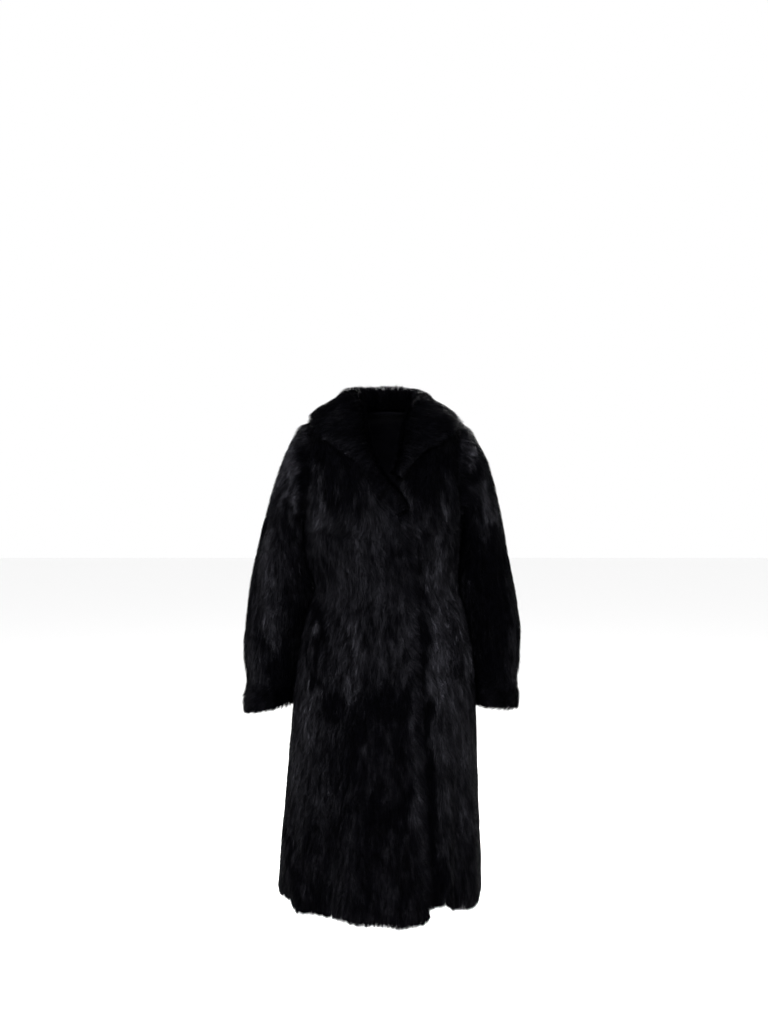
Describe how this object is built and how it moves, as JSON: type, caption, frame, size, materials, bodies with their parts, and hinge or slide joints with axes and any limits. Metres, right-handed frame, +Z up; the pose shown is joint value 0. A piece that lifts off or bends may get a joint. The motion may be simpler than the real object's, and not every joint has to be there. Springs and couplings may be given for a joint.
{
  "type": "fur coat",
  "caption": "Long black mink fur coat with a wide turned-down collar and cuffed sleeves, wrapped right over left and kept in its worn, hollow shape.",
  "frame": {"origin": "midway between the two shoulder seams where they meet the neckline, where the wearer's shoulders carry the coat", "axes": "+Z up along the coat's length, +Y towards the wearer's back, +X towards the wearer's left"},
  "size_m": [0.6253, 0.4287, 1.1478],
  "materials": {
    "fur": "glossy black mink pile lying downwards, in narrow let-out strips",
    "cuff_fur": "glossy black mink pile lying round the wrist",
    "collar_fur": "deeper black mink pile lying outwards from the neck",
    "lining": "black satin"
  },
  "bodies": {
    "root": {"right_front": "fur", "left_front": "fur", "back": "fur", "right_sleeve": "fur", "left_sleeve": "fur", "right_cuff": "cuff_fur", "left_cuff": "cuff_fur", "collar": "collar_fur", "right_pocket_welt": "fur", "left_pocket_welt": "fur"}
  },
  "joints": []
}
